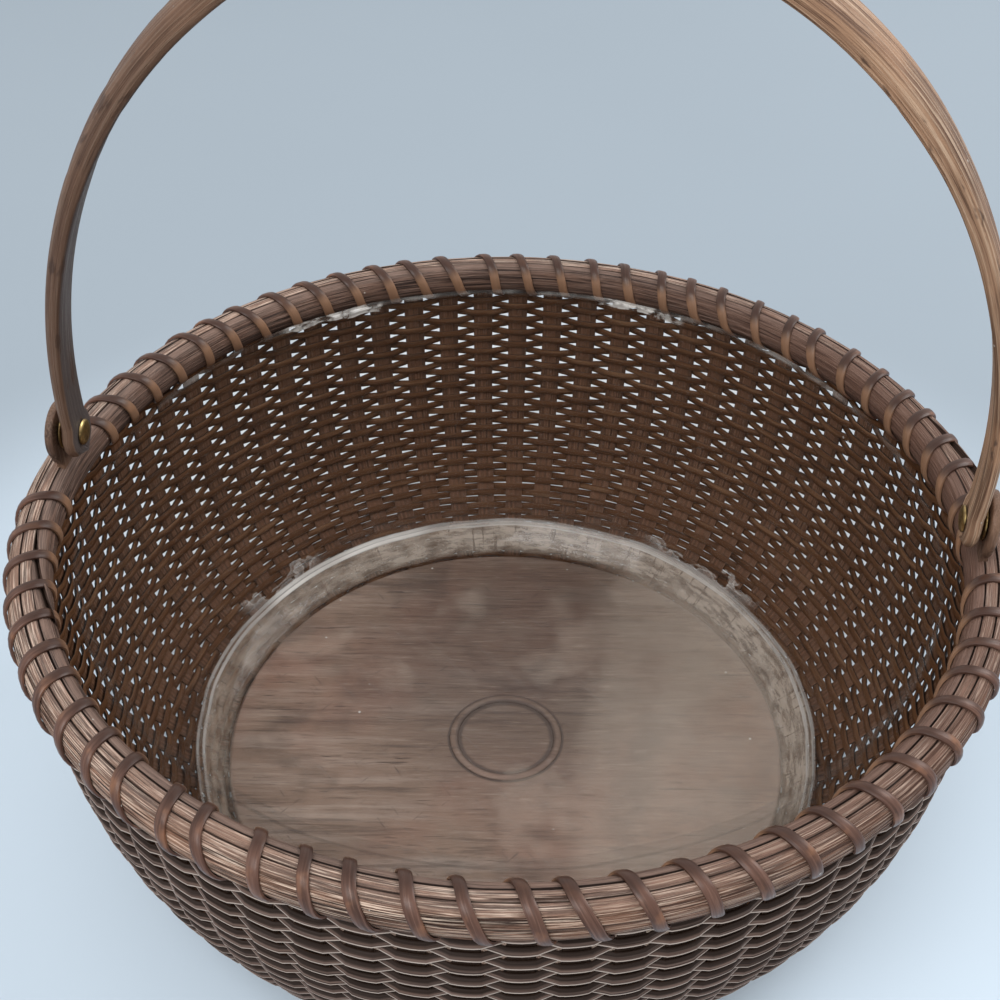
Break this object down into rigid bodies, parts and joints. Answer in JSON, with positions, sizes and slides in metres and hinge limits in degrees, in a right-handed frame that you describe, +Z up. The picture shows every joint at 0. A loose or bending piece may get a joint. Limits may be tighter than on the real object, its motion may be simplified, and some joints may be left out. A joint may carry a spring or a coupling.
{
  "type": "nantucket basket",
  "caption": "Round woven cane basket on a turned wooden board, with a lashed rim, a swinging bent-wood handle on two ears and a clear liner.",
  "frame": {"origin": "middle of the board's underside, where the basket stands", "axes": "+Z up, +X through the right ear and along the handle's hinge line, -Y to the front, where the handle leans"},
  "size_m": [0.2578, 0.2586, 0.2706],
  "materials": {
    "weave_cane": "dry, dark brown with age",
    "board_wood": "planed, dull, grey-brown with darker figure",
    "hoop_wood": "long open fibres, dull",
    "strand_cane": "satin, with worn tan patches",
    "handle_wood": "satin, with bark scars and worn edges",
    "ear_wood": "satin",
    "rivet_brass": "dulled",
    "liner_clear": "clear, with fine scratches and a hazy foot"
  },
  "bodies": {
    "basket": {"base_board": "board_wood", "woven_wall": "weave_cane", "outer_hoop": "hoop_wood", "inner_hoop": "hoop_wood", "cap_strip": "hoop_wood", "lashing_back": "strand_cane", "lashing_front": "strand_cane", "ear_right": "ear_wood", "ear_left": "ear_wood", "rivet_right": "rivet_brass", "rivet_left": "rivet_brass", "washer_right": "rivet_brass", "washer_left": "rivet_brass"},
    "handle": {"handle": "handle_wood"},
    "liner": {"clear_liner": "liner_clear"}
  },
  "joints": [
    {"name": "handle_swing", "type": "hinge", "parent": "basket", "child": "handle", "pos_m": [0, 0, 0.11], "axis": [1, 0, 0], "range_deg": [-102, 80]},
    {"name": "liner_lift", "type": "slide", "parent": "basket", "child": "liner", "axis": [0, 0, 1], "range_m": [0, 0.025]}
  ]
}
